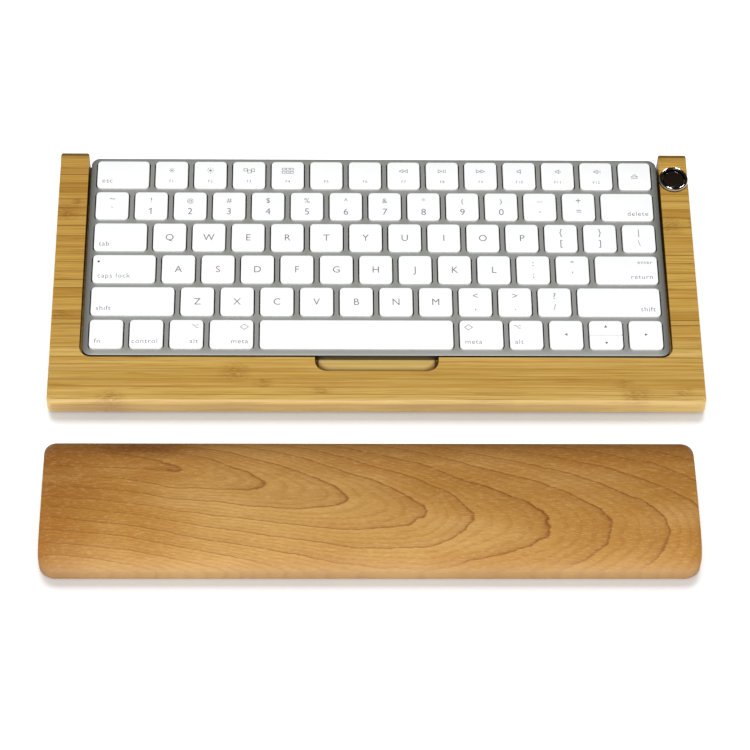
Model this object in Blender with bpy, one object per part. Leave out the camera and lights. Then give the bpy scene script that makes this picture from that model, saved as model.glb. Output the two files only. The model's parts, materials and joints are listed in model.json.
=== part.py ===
"""Low-profile keyboard in a bamboo desk tray, with a separate wooden palm rest in front.

The origin is on the table under the middle of the whole set. X runs along the key rows, Y runs
away from the typist, Z is up. The keyboard is a wedge: its key plane rises towards the back, and
everything inside it is placed in the key plane's own frame, where Z = 0 is the plate's top face
and Y = 0 is the middle of the front key row.
"""
from math import atan, cos, pi, radians, sin, tan

import bmesh
import bpy
from mathutils import Matrix

MM = 0.001
GAP = 0.3 * MM                      # running clearance between neighbouring pieces
CUT_PAST = 5.0 * MM                 # how far a cutting tool reaches past what it cuts

# Key grid
UNIT = 19.0 * MM                    # key pitch along a row
ROW_PITCH = 18.6 * MM
CAP_SIDE_GAP = 3.2 * MM             # pitch left over between two caps of a row
CAP_DEPTH = 15.8 * MM
CAP_RISE = 1.05 * MM                # cap top above the plate
CAP_SKIRT = 1.3 * MM                # skirt end below the plate's top face
CAP_CROWN = 0.9 * MM                # thickness of the cap's top
CAP_WALL = 1.2 * MM
CAP_EDGE = 0.3 * MM                 # chamfer round the cap's top
CAP_RADIUS = 1.8 * MM
SPLIT_RADIUS = 0.5 * MM              # corners where the two half-depth arrow caps meet
HALF_CAP_SPLIT = 0.4 * MM           # slit between the two half-depth arrow caps
ROW_UNITS = 14.5
SPINE_DEPTH = 1.6 * MM              # strip that ties a ganged row of caps together
SPINE_TOP = -1.1 * MM
SPINE_BOTTOM = -1.5 * MM
SPINE_OFFSET = 5.4 * MM

# Keyboard case
CASE_WIDTH = 278.8 * MM
CASE_FRONT = -11.4 * MM             # front wall, measured in the key plane
CASE_DEPTH = 114.7 * MM
CASE_FRONT_THICK = 4.1 * MM
CASE_BACK_THICK = 10.9 * MM
CASE_RADIUS = 4.2 * MM
CASE_WALL = 1.2 * MM
CASE_EDGE = 0.35 * MM
PLATE_THICK = 0.8 * MM
COVER_THICK = 0.6 * MM
TILT = atan((CASE_BACK_THICK - CASE_FRONT_THICK) / CASE_DEPTH)

# Switch layers, heights of their upper faces under the plate's top face
SHEET_TOP = -2.75 * MM
SHEET_THICK = 0.2 * MM
DOME_TOP = -1.15 * MM
DOME_RADIUS = 3.0 * MM
DOME_TAPER = 0.7                    # a dome's crown against its foot
DOME_SIDES = 6
SWITCH_PLATE_TOP = -3.25 * MM
SWITCH_PLATE_THICK = 0.2 * MM
LAYER_MARGIN = 1.0 * MM             # how far the layers reach past the key field

# Electronics
BATTERY_SIZE = (120 * MM, 30 * MM, 2.6 * MM)
BATTERY_CENTRE = (0.0, 64 * MM, -5.2 * MM)
BATTERY_RADIUS = 3.0 * MM
BOARD_SIZE = (110 * MM, 14 * MM, 1.0 * MM)
BOARD_CENTRE = (0.0, 92 * MM, -4.6 * MM)
PORT_SIZE = (9.6 * MM, 8.0 * MM, 3.8 * MM)
PORT_HEIGHT = -6.4 * MM             # middle of the charging port
PORT_SETBACK = 0.2 * MM             # its mouth lies this far inside the case's back face
PORT_WALL = 0.6 * MM
PORT_BACK_WALL = 1.2 * MM
SWITCH_X = 104 * MM
SWITCH_HEIGHT = -5.6 * MM
SWITCH_THUMB = (4.0 * MM, 2.2 * MM)
SWITCH_FLANGE = (11.0 * MM, 4.0 * MM, 0.8 * MM)
SWITCH_PROUD = 0.8 * MM
SWITCH_TRAVEL = 2.5 * MM
WALL_CUT_DEPTH = 4 * CASE_WALL      # tools that cut through the back wall

# Bamboo tray
TRAY_WIDTH = 309.6 * MM
TRAY_DEPTH = 144.0 * MM
TRAY_FRONT = -37.5 * MM             # front face, measured in the key plane
TRAY_FRONT_TOP = 9.0 * MM           # height of the top face at the front, above the table
TRAY_RADIUS = 2.5 * MM              # plan corners in front
TRAY_BACK_RADIUS = 1.0 * MM         # plan corners at the arms' outer back ends
ARM_LIP = 1.8 * MM                  # rounding of the arms' inner back corners
TRAY_FRONT_EDGE = 1.6 * MM          # rounding of the top edge in front
TRAY_SIDE_EDGE = 0.7 * MM           # and of the other top edges
TRAY_FOOT_EDGE = 0.4 * MM           # small bevel round the underside
TRAY_EDGE_EASE = 8 * MM             # stretch over which the front rounding runs out along the sides
MAT_THICK = 0.8 * MM
MAT_MARGIN = 8.0 * MM
MAT_RADIUS = 4.0 * MM
TRAY_BOTTOM = MAT_THICK + GAP
POCKET_SIDE_GAP = 1.3 * MM
POCKET_FRONT_GAP = 0.9 * MM
NOTCH_WIDTH = 58.6 * MM
NOTCH_REACH = 7.8 * MM              # how far the finger notch bites into the front bar
NOTCH_UNDERCUT = 4.0 * MM           # how far it runs under the keyboard's front edge
NOTCH_DROP = 5.2 * MM
NOTCH_CORNER = 5.6 * MM
NOTCH_SCOOP = ((1.8, 0.0), (0.5, 1.2), (0.0, 3.0))  # rounded foot: inset and height in millimetres

# Polished stud near the back of the right arm
STUD_X = 147.6 * MM
STUD_Y = 91.4 * MM
STUD_RADIUS = 7.2 * MM
STUD_BORE = 5.5 * MM
STUD_SEAT = 1.0 * MM                # depth of its recess in the tray
STUD_RISE = 1.4 * MM
STUD_DOME_RISE = 1.6 * MM
STUD_SHOULDER = 0.5                 # where the dome starts to curve, as a share of the ring's rise
STUD_RING_CROWN = ((1.0, 0.45), (0.82, 0.82), (0.47, 1.0), (0.18, 0.9), (0.0, 0.6))  # of width, of rise

# Palm rest
REST_WIDTH = 299.8 * MM
REST_DEPTH = 68.5 * MM
REST_HEIGHT = 17.0 * MM
REST_GAP = 22.3 * MM                # free space to the tray
REST_SHIFT = -4.0 * MM              # its middle lies a little to the left
REST_RADIUS = 7.0 * MM              # plan corners in front
REST_BACK_RADIUS = 9.0 * MM
REST_FRONT_ROLL = 34.0 * MM         # how far the domed section curves down towards the front
REST_BACK_ROLL = 18.0 * MM
REST_SIDE_ROLL = 1.5 * MM
REST_ROLL_START = 5.5 * MM          # height of the upright sides
REST_ROLL_STEPS = 7
REST_FOOT_BEVEL = 0.8 * MM

# The whole set is centred on the origin.
SET_DEPTH = REST_DEPTH + REST_GAP + TRAY_DEPTH
TRAY_FRONT_WORLD = SET_DEPTH / 2 - TRAY_DEPTH
REST_FRONT_WORLD = -SET_DEPTH / 2

KEY_ROWS = (                        # from the front row to the back row: cap name, width in units
    (("fn", 1), ("control", 1), ("alt_left", 1), ("meta_left", 1.25), ("space", 5),
     ("meta_right", 1.25), ("alt_right", 1), ("arrow_left", 1), ("arrow_up_down", 1),
     ("arrow_right", 1)),
    (("shift_left", 2.25), *((name, 1) for name in "zxcvbnm"), ("comma", 1), ("period", 1),
     ("slash", 1), ("shift_right", 2.25)),
    (("caps_lock", 1.75), *((name, 1) for name in "asdfghjkl"), ("semicolon", 1), ("quote", 1),
     ("return", 1.75)),
    (("tab", 1.5), *((name, 1) for name in "qwertyuiop"), ("bracket_left", 1),
     ("bracket_right", 1), ("backslash", 1)),
    (("grave", 1), *((name, 1) for name in "1234567890"), ("minus", 1), ("equals", 1),
     ("delete", 1.5)),
    (("escape", 1.5), *((f"f{number}", 1) for number in range(1, 13)), ("eject", 1)),
)
GANGS = {                           # caps that share one piece
    "function_keys": [name for name, _ in KEY_ROWS[5]],
    "number_keys": [name for name, _ in KEY_ROWS[4]],
    "left_modifier_keys": ["fn", "control", "alt_left", "meta_left"],
    "right_modifier_keys": ["meta_right", "alt_right"],
}

COLOURS = {                         # base colour, metallic, roughness
    "keycap_white": ((0.83, 0.84, 0.86), 0.0, 0.45),
    "aluminium_grey": ((0.42, 0.43, 0.46), 1.0, 0.38),
    "cover_plastic": ((0.62, 0.63, 0.65), 0.0, 0.5),
    "silicone": ((0.75, 0.76, 0.78), 0.0, 0.6),
    "spring_steel": ((0.55, 0.56, 0.58), 1.0, 0.35),
    "circuit_board": ((0.03, 0.16, 0.08), 0.0, 0.5),
    "battery_foil": ((0.16, 0.17, 0.2), 0.3, 0.4),
    "bamboo": ((0.68, 0.42, 0.17), 0.0, 0.4),
    "palm_wood": ((0.56, 0.32, 0.13), 0.0, 0.45),
    "chrome": ((0.8, 0.8, 0.8), 1.0, 0.12),
    "dark_glass": ((0.02, 0.02, 0.025), 0.0, 0.1),
    "rubber": ((0.04, 0.04, 0.04), 0.0, 0.8),
}


# ---------------------------------------------------------------- helpers

def clear_scene():
    for item in list(bpy.data.objects):
        bpy.data.objects.remove(item, do_unlink=True)


def finish_material(name):
    """One Principled material for one piece, from the shared colour table."""
    colour, metallic, roughness = COLOURS[name]
    made = bpy.data.materials.new(name)
    made.use_nodes = True
    shader = made.node_tree.nodes["Principled BSDF"]
    shader.inputs["Base Color"].default_value = (*colour, 1.0)
    shader.inputs["Metallic"].default_value = metallic
    shader.inputs["Roughness"].default_value = roughness
    return made


def add_piece(name, mesh, colour=None, parent=None, place=(0, 0, 0)):
    """Puts a finished bmesh into the scene as an object. Without a colour it is a hidden tool."""
    bmesh.ops.recalc_face_normals(mesh, faces=mesh.faces)
    data = bpy.data.meshes.new(name)
    mesh.to_mesh(data)
    mesh.free()
    piece = bpy.data.objects.new(name, data)
    bpy.context.collection.objects.link(piece)
    piece.parent = parent
    piece.location = place
    if colour:
        data.materials.append(finish_material(colour))
    else:
        piece.hide_render = True
        piece.display_type = "WIRE"
    return piece


def combine(piece, tool, operation):
    modifier = piece.modifiers.new(f"{operation.lower()}_{tool.name}", "BOOLEAN")
    modifier.operation = operation
    modifier.solver = "EXACT"
    modifier.object = tool


def arc(centre, radius, first, last, steps):
    """Points of a circular arc between two angles in degrees, as (x, y) pairs."""
    turns = [radians(first + (last - first) * step / steps) for step in range(steps + 1)]
    return [(centre[0] + radius * cos(turn), centre[1] + radius * sin(turn)) for turn in turns]


def rounded_loop(width, depth, radius, corner_steps, centre=(0.0, 0.0), back_radius=None):
    """Plan outline of a rectangle with round corners, counter-clockwise, as (x, y) pairs."""
    points = []
    for quarter, (sx, sy) in enumerate(((1, 1), (-1, 1), (-1, -1), (1, -1))):
        bend = back_radius if back_radius and sy > 0 else radius
        middle = (centre[0] + sx * (width / 2 - bend), centre[1] + sy * (depth / 2 - bend))
        points += arc(middle, bend, quarter * 90, quarter * 90 + 90, corner_steps)
    return points


def add_ring(mesh, loop, height):
    """Adds one ring of vertices. The height is a number or a function of y."""
    return [mesh.verts.new((x, y, height(y) if callable(height) else height)) for x, y in loop]


def bridge(mesh, lower, upper):
    count = len(lower)
    for i in range(count):
        j = (i + 1) % count
        mesh.faces.new((lower[i], lower[j], upper[j], upper[i]))


def ring_solid(levels):
    """A closed solid from rings of equal length: (outline, height) pairs, capped at both ends."""
    mesh = bmesh.new()
    rings = [add_ring(mesh, loop, height) for loop, height in levels]
    for lower, upper in zip(rings, rings[1:]):
        bridge(mesh, lower, upper)
    mesh.faces.new(rings[0])
    mesh.faces.new(rings[-1])
    return mesh


def box_solid(size, radius=0.0, corner_steps=1):
    """A block centred on its origin, with its upright edges rounded if a radius is given."""
    width, depth, height = size
    if radius:
        loop = rounded_loop(width, depth, radius, corner_steps)
    else:
        loop = [(x * width / 2, y * depth / 2) for x, y in ((1, 1), (-1, 1), (-1, -1), (1, -1))]
    return ring_solid([(loop, -height / 2), (loop, height / 2)])


def turned_solid(profile, steps):
    """Turns an (r, z) profile about Z. A profile that starts and ends at r = 0 closes itself."""
    mesh = bmesh.new()
    verts = [mesh.verts.new((r, 0, z)) for r, z in profile]
    edges = [mesh.edges.new(pair) for pair in zip(verts, verts[1:])]
    if profile[0][0] > 0:
        edges.append(mesh.edges.new((verts[-1], verts[0])))
    bmesh.ops.spin(mesh, geom=verts + edges, axis=(0, 0, 1), cent=(0, 0, 0), angle=2 * pi,
                   steps=steps, use_merge=True)
    bmesh.ops.remove_doubles(mesh, verts=mesh.verts, dist=0.001 * MM)
    return mesh


def fill_with_holes(mesh, outer, holes):
    """Fills the flat face between an outer ring and the rings of its holes."""
    edges = []
    for ring in (outer, *holes):
        for i, vert in enumerate(ring):
            pair = (vert, ring[(i + 1) % len(ring)])
            edges.append(mesh.edges.get(pair) or mesh.edges.new(pair))
    bmesh.ops.triangle_fill(mesh, use_beauty=True, use_dissolve=False, edges=edges)


# ---------------------------------------------------------------- key layout

def key_cells():
    """Every cap as (name, x, y, width, depth) in the key plane."""
    cells = []
    for row, keys in enumerate(KEY_ROWS):
        left = -ROW_UNITS / 2 * UNIT
        for name, units in keys:
            width = units * UNIT - CAP_SIDE_GAP
            centre = left + units * UNIT / 2
            if name == "arrow_up_down":
                depth = (CAP_DEPTH - HALF_CAP_SPLIT) / 2
                shift = (depth + HALF_CAP_SPLIT) / 2
                cells.append(("arrow_up", centre, row * ROW_PITCH + shift, width, depth))
                cells.append(("arrow_down", centre, row * ROW_PITCH - shift, width, depth))
            else:
                cells.append((name, centre, row * ROW_PITCH, width, CAP_DEPTH))
            left += units * UNIT
    return cells


def plate_openings():
    """Outlines of the plate's openings. The two half-depth arrow caps share one opening."""
    loops = []
    for name, x, y, width, depth in key_cells():
        if name == "arrow_down":
            continue
        if name == "arrow_up":
            y, depth = 0.0, CAP_DEPTH
        loops.append(rounded_loop(width + 2 * GAP, depth + 2 * GAP, CAP_RADIUS + GAP, 1, (x, y)))
    return loops


# ---------------------------------------------------------------- caps

def cap_levels(width, depth, centre=(0.0, 0.0), front=CAP_RADIUS, back=CAP_RADIUS):
    """Rings of a hollow cap, from its inner ceiling down round the skirt to its top."""
    def loop(inset):
        bends = [max(radius - inset / 2, SPLIT_RADIUS / 2) for radius in (front, back)]
        return rounded_loop(width - 2 * inset, depth - 2 * inset, bends[0], 1, centre, bends[1])
    return [
        (loop(CAP_WALL), CAP_RISE - CAP_CROWN),
        (loop(CAP_WALL), -CAP_SKIRT),
        (loop(0), -CAP_SKIRT),
        (loop(0), CAP_RISE - CAP_EDGE),
        (loop(CAP_EDGE), CAP_RISE),
    ]


def make_single_keys(key_frame):
    ganged = {name for names in GANGS.values() for name in names}
    for name, x, y, width, depth in key_cells():
        if name not in ganged:
            front = SPLIT_RADIUS if name == "arrow_up" else CAP_RADIUS
            back = SPLIT_RADIUS if name == "arrow_down" else CAP_RADIUS
            levels = cap_levels(width, depth, front=front, back=back)
            add_piece(f"key_{name}", ring_solid(levels), "keycap_white", key_frame, (x, y, 0))


def make_ganged_keys(key_frame):
    """Rows of caps on one thin spine, which runs under the plate from the first cap to the last."""
    cells = {cell[0]: cell for cell in key_cells()}
    for gang, names in GANGS.items():
        first, last = cells[names[0]], cells[names[-1]]
        middle = (first[1] + last[1]) / 2
        row_y = first[2]
        spine = box_solid((last[1] - first[1], SPINE_DEPTH, SPINE_TOP - SPINE_BOTTOM))
        bmesh.ops.translate(spine, verts=spine.verts,
                            vec=(0, SPINE_OFFSET, (SPINE_TOP + SPINE_BOTTOM) / 2))
        piece = add_piece(gang, spine, "keycap_white", key_frame, (middle, row_y, 0))
        for name in names:
            _, x, _, width, depth = cells[name]
            cap = add_piece(f"cap_{name}", ring_solid(cap_levels(width, depth)), None,
                            key_frame, (x, row_y, 0))
            combine(piece, cap, "UNION")


# ---------------------------------------------------------------- keyboard case

def wedge_floor(above=0.0):
    """Height of the keyboard's level underside in the key plane's frame, as a function of y."""
    return lambda y: above - CASE_FRONT_THICK - (y - CASE_FRONT) * tan(TILT)


def case_loop(inset):
    return rounded_loop(CASE_WIDTH - 2 * inset, CASE_DEPTH - 2 * inset, CASE_RADIUS - inset, 5,
                        (0.0, CASE_FRONT + CASE_DEPTH / 2))


def make_top_case(key_frame):
    """The plate with an opening for each cap, and the wall round it, in one piece."""
    mesh = bmesh.new()
    inner_top = add_ring(mesh, case_loop(CASE_WALL), -PLATE_THICK)
    inner_foot = add_ring(mesh, case_loop(CASE_WALL), wedge_floor())
    outer_foot = add_ring(mesh, case_loop(0), wedge_floor())
    outer_edge = add_ring(mesh, case_loop(0), -CASE_EDGE)
    outer_top = add_ring(mesh, case_loop(CASE_EDGE), 0.0)
    rings = (inner_top, inner_foot, outer_foot, outer_edge, outer_top)
    for lower, upper in zip(rings, rings[1:]):
        bridge(mesh, lower, upper)
    upper_holes = [add_ring(mesh, loop, 0.0) for loop in plate_openings()]
    lower_holes = [add_ring(mesh, loop, -PLATE_THICK) for loop in plate_openings()]
    for lower, upper in zip(lower_holes, upper_holes):
        bridge(mesh, lower, upper)
    fill_with_holes(mesh, outer_top, upper_holes)
    fill_with_holes(mesh, inner_top, lower_holes)
    case = add_piece("top_case", mesh, "aluminium_grey", key_frame)

    back = CASE_FRONT + CASE_DEPTH
    port_cut = (PORT_SIZE[0] + 2 * GAP, WALL_CUT_DEPTH, PORT_SIZE[2] + 2 * GAP)
    switch_cut = (SWITCH_THUMB[0] + SWITCH_TRAVEL + 2 * GAP, WALL_CUT_DEPTH,
                  SWITCH_THUMB[1] + 2 * GAP)
    for name, size, x, z in (("port_cutter", port_cut, 0.0, PORT_HEIGHT),
                             ("switch_cutter", switch_cut, SWITCH_X, SWITCH_HEIGHT)):
        cutter = add_piece(name, box_solid(size), None, key_frame, (x, back, z))
        combine(case, cutter, "DIFFERENCE")


def make_bottom_cover(key_frame):
    loop = case_loop(CASE_WALL + GAP)
    mesh = ring_solid([(loop, wedge_floor()), (loop, wedge_floor(COVER_THICK))])
    add_piece("bottom_cover", mesh, "cover_plastic", key_frame)


# ---------------------------------------------------------------- inside the case

def layer_outline():
    width = ROW_UNITS * UNIT - CAP_SIDE_GAP + 2 * LAYER_MARGIN
    depth = (len(KEY_ROWS) - 1) * ROW_PITCH + CAP_DEPTH + 2 * LAYER_MARGIN
    middle = (len(KEY_ROWS) - 1) / 2 * ROW_PITCH
    return rounded_loop(width, depth, CAP_RADIUS, 1, (0.0, middle))


def make_dome_sheet(key_frame):
    """A silicone sheet with one dome under each cap."""
    mesh = bmesh.new()
    bottom = add_ring(mesh, layer_outline(), SHEET_TOP - SHEET_THICK)
    top = add_ring(mesh, layer_outline(), SHEET_TOP)
    bridge(mesh, bottom, top)
    mesh.faces.new(bottom)
    feet = []
    for _, x, y, _, depth in key_cells():
        radius = min(DOME_RADIUS, depth / 2 - CAP_WALL - 2 * GAP)
        foot = add_ring(mesh, arc((x, y), radius, 0, 360, DOME_SIDES)[:-1], SHEET_TOP)
        crown = add_ring(mesh, arc((x, y), radius * DOME_TAPER, 0, 360, DOME_SIDES)[:-1], DOME_TOP)
        bridge(mesh, foot, crown)
        mesh.faces.new(crown)
        feet.append(foot)
    fill_with_holes(mesh, top, feet)
    add_piece("dome_sheet", mesh, "silicone", key_frame)


def make_switch_plate(key_frame):
    loop = layer_outline()
    mesh = ring_solid([(loop, SWITCH_PLATE_TOP - SWITCH_PLATE_THICK), (loop, SWITCH_PLATE_TOP)])
    add_piece("switch_plate", mesh, "spring_steel", key_frame)


def make_battery(key_frame):
    add_piece("battery", box_solid(BATTERY_SIZE, BATTERY_RADIUS, 3), "battery_foil", key_frame,
              BATTERY_CENTRE)


def make_logic_board(key_frame):
    """The circuit board with its charging socket, which reaches through the case's back wall."""
    board = add_piece("logic_board", box_solid(BOARD_SIZE), "circuit_board", key_frame,
                      BOARD_CENTRE)
    face_y = CASE_FRONT + CASE_DEPTH - PORT_SETBACK
    width, depth, height = PORT_SIZE
    socket = add_piece("socket_block", box_solid(PORT_SIZE), None, key_frame,
                       (0.0, face_y - depth / 2, PORT_HEIGHT))
    combine(board, socket, "UNION")
    cavity_size = (width - 2 * PORT_WALL, depth, height - 2 * PORT_WALL)
    cavity = add_piece("socket_cavity", box_solid(cavity_size), None, key_frame,
                       (0.0, face_y - depth / 2 + PORT_BACK_WALL, PORT_HEIGHT))
    combine(board, cavity, "DIFFERENCE")


def make_power_switch(key_frame):
    """A thumb that stands through the back wall's slot, with a flange that keeps it inside."""
    back = CASE_FRONT + CASE_DEPTH
    flange_back = -CASE_WALL - GAP
    steps = (
        (SWITCH_FLANGE[:2], flange_back - SWITCH_FLANGE[2]),
        (SWITCH_FLANGE[:2], flange_back),
        (SWITCH_THUMB, flange_back),
        (SWITCH_THUMB, SWITCH_PROUD),
    )
    levels = [([(sx * w / 2, sy * h / 2) for sx, sy in ((1, 1), (-1, 1), (-1, -1), (1, -1))], z)
              for (w, h), z in steps]
    mesh = ring_solid(levels)
    bmesh.ops.rotate(mesh, verts=mesh.verts, cent=(0, 0, 0),
                     matrix=Matrix.Rotation(radians(-90), 3, "X"))
    start = SWITCH_X - SWITCH_TRAVEL / 2
    add_piece("power_switch", mesh, "cover_plastic", key_frame, (start, back, SWITCH_HEIGHT))


# ---------------------------------------------------------------- tray

def tray_loop(front, side):
    """Plan of the tray, drawn in by one amount in front and by another at the sides and back."""
    middle = TRAY_FRONT_WORLD + (TRAY_DEPTH + front - side) / 2
    return rounded_loop(TRAY_WIDTH - 2 * side, TRAY_DEPTH - front - side, TRAY_RADIUS - side / 2, 3,
                        (0.0, middle), TRAY_BACK_RADIUS - side / 2)


def tray_top(front_drop, back_drop):
    """Height of the sloping top face above the table, less a drop that eases from front to back."""
    def height(y):
        run = y - TRAY_FRONT_WORLD
        near = max(0.0, 1 - run / TRAY_EDGE_EASE)
        drop = back_drop + (front_drop - back_drop) * near
        return TRAY_FRONT_TOP + run * tan(TILT) - drop
    return height


def pocket_loop(front):
    """Plan of the pocket: round corners in front, and arms whose inner ends curve away."""
    half = CASE_WIDTH / 2 + POCKET_SIDE_GAP
    corner = CASE_RADIUS + POCKET_SIDE_GAP
    end = TRAY_FRONT + TRAY_DEPTH / cos(TILT)
    past = end + CUT_PAST
    return [
        *arc((half + ARM_LIP, end - ARM_LIP), ARM_LIP, 180, 90, 4),
        (half + ARM_LIP, past),
        (-half - ARM_LIP, past),
        *arc((-half - ARM_LIP, end - ARM_LIP), ARM_LIP, 90, 0, 4),
        *arc((-half + corner, front + corner), corner, 180, 270, 5),
        *arc((half - corner, front + corner), corner, 270, 360, 5),
    ]


def notch_loop(inset, front, back):
    """Plan of the finger notch: straight where it meets the pocket, wide round corners in front."""
    half = NOTCH_WIDTH / 2 - inset
    corner = NOTCH_CORNER - inset / 2
    middle_y = front + inset + corner
    return [
        (half, back),
        (-half, back),
        *arc((corner - half, middle_y), corner, 180, 270, 5),
        *arc((half - corner, middle_y), corner, 270, 360, 5),
    ]


def make_tray(key_frame):
    """One bamboo block: a pocket open at the back, a finger notch and a seat for the stud."""
    front, side, foot = TRAY_FRONT_EDGE, TRAY_SIDE_EDGE, TRAY_FOOT_EDGE
    part_way = 1 - cos(radians(45))
    levels = [
        (tray_loop(foot, foot), TRAY_BOTTOM),
        (tray_loop(0, 0), TRAY_BOTTOM + foot),
        (tray_loop(0, 0), tray_top(front, side)),
        (tray_loop(front * part_way, side * part_way), tray_top(front * part_way, side * part_way)),
        (tray_loop(front, side), tray_top(0, 0)),
    ]
    tray = add_piece("bamboo_tray", ring_solid(levels), "bamboo")

    pocket_front = CASE_FRONT - POCKET_FRONT_GAP
    plan = pocket_loop(pocket_front)
    pocket = add_piece("pocket_cutter", ring_solid([(plan, wedge_floor(-GAP)), (plan, CUT_PAST)]),
                       None, key_frame)
    combine(tray, pocket, "DIFFERENCE")

    front = pocket_front - NOTCH_REACH
    back = CASE_FRONT + NOTCH_UNDERCUT
    levels = [(notch_loop(inset * MM, front, back), height * MM - NOTCH_DROP)
              for inset, height in NOTCH_SCOOP]
    levels.append((notch_loop(0, front, back), CUT_PAST))
    notch = add_piece("notch_cutter", ring_solid(levels), None, key_frame)
    combine(tray, notch, "DIFFERENCE")

    seat_profile = ((0, -STUD_SEAT), (STUD_RADIUS + GAP, -STUD_SEAT),
                    (STUD_RADIUS + GAP, CUT_PAST), (0, CUT_PAST))
    seat = add_piece("stud_seat_cutter", turned_solid(seat_profile, 24), None, key_frame,
                     (STUD_X, STUD_Y, 0))
    combine(tray, seat, "DIFFERENCE")


def make_stud(key_frame):
    """A bright ring pressed into the tray, with a dark domed button inside it."""
    foot = GAP - STUD_SEAT
    crown = [(STUD_BORE + (STUD_RADIUS - STUD_BORE) * across, STUD_RISE * up)
             for across, up in STUD_RING_CROWN]
    ring = ((STUD_BORE, foot), (STUD_RADIUS, foot), *crown)
    add_piece("stud_ring", turned_solid(ring, 24), "chrome", key_frame, (STUD_X, STUD_Y, 0))
    radius = STUD_BORE - GAP
    shoulder = STUD_RISE * STUD_SHOULDER
    quarter = arc((0, 0), 1.0, 0, 90, 4)[:-1]
    crown = [(radius * x, shoulder + (STUD_DOME_RISE - shoulder) * y) for x, y in quarter]
    dome = ((0, foot), (radius, foot), *crown, (0, STUD_DOME_RISE))
    add_piece("stud_dome", turned_solid(dome, 24), "dark_glass", key_frame, (STUD_X, STUD_Y, 0))


def make_mat():
    size = (TRAY_WIDTH - 2 * MAT_MARGIN, TRAY_DEPTH - 2 * MAT_MARGIN, MAT_THICK)
    add_piece("anti_slip_mat", box_solid(size, MAT_RADIUS, 3), "rubber", None,
              (0, TRAY_FRONT_WORLD + TRAY_DEPTH / 2, MAT_THICK / 2))


# ---------------------------------------------------------------- palm rest

def rest_loop(side, front, back):
    """Plan of the palm rest, drawn in by its own amount at the ends, in front and at the back."""
    middle = (REST_DEPTH + front - back) / 2
    return rounded_loop(REST_WIDTH - 2 * side, REST_DEPTH - front - back, REST_RADIUS - side / 2, 4,
                        (0.0, middle), REST_BACK_RADIUS - side / 2)


def make_palm_rest():
    """A domed bar: a long roll towards the front, a shorter one at the back, nearly square ends."""
    bevel = REST_FOOT_BEVEL
    levels = [(rest_loop(bevel, bevel, bevel), 0.0), (rest_loop(0, 0, 0), bevel)]
    for step in range(REST_ROLL_STEPS + 1):
        turn = radians(90 * step / REST_ROLL_STEPS)
        inward = 1 - cos(turn)
        loop = rest_loop(REST_SIDE_ROLL * inward, REST_FRONT_ROLL * inward, REST_BACK_ROLL * inward)
        levels.append((loop, REST_ROLL_START + (REST_HEIGHT - REST_ROLL_START) * sin(turn)))
    add_piece("palm_rest", ring_solid(levels), "palm_wood", None, (REST_SHIFT, REST_FRONT_WORLD, 0))


# ---------------------------------------------------------------- assembly

def make_key_frame():
    """An empty in the middle of the front key row, tilted to the key plane."""
    frame = bpy.data.objects.new("key_frame", None)
    bpy.context.collection.objects.link(frame)
    run = -TRAY_FRONT
    frame.location = (0.0, TRAY_FRONT_WORLD + run * cos(TILT), TRAY_FRONT_TOP + run * sin(TILT))
    frame.rotation_euler = (TILT, 0.0, 0.0)
    return frame


def main():
    clear_scene()
    key_frame = make_key_frame()
    make_tray(key_frame)
    make_stud(key_frame)
    make_mat()
    make_top_case(key_frame)
    make_bottom_cover(key_frame)
    make_dome_sheet(key_frame)
    make_switch_plate(key_frame)
    make_battery(key_frame)
    make_logic_board(key_frame)
    make_power_switch(key_frame)
    make_single_keys(key_frame)
    make_ganged_keys(key_frame)
    make_palm_rest()


main()
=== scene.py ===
"""Looks of the low-profile keyboard in its bamboo tray, with the wooden palm rest in front."""

import json
from math import atan2, cos, pi, radians, sin, tan

import bmesh
import bpy
from mathutils import Matrix, Vector


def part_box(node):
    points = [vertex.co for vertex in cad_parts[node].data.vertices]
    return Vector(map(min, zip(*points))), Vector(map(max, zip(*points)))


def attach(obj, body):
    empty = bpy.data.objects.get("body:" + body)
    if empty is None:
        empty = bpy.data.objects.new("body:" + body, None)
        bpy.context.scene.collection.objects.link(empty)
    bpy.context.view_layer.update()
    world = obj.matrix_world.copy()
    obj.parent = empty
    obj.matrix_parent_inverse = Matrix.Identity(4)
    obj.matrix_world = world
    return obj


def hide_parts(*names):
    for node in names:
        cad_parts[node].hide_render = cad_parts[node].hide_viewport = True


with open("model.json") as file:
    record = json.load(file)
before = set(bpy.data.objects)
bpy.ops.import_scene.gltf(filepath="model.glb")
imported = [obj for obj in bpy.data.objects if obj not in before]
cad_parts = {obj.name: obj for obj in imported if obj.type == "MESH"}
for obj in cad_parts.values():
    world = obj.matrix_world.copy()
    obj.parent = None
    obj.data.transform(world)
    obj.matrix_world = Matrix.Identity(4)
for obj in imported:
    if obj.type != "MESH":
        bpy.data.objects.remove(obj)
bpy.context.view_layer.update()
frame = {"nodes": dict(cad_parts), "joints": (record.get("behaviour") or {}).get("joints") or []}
MM = 0.001


# ---------------- the key plane

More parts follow.
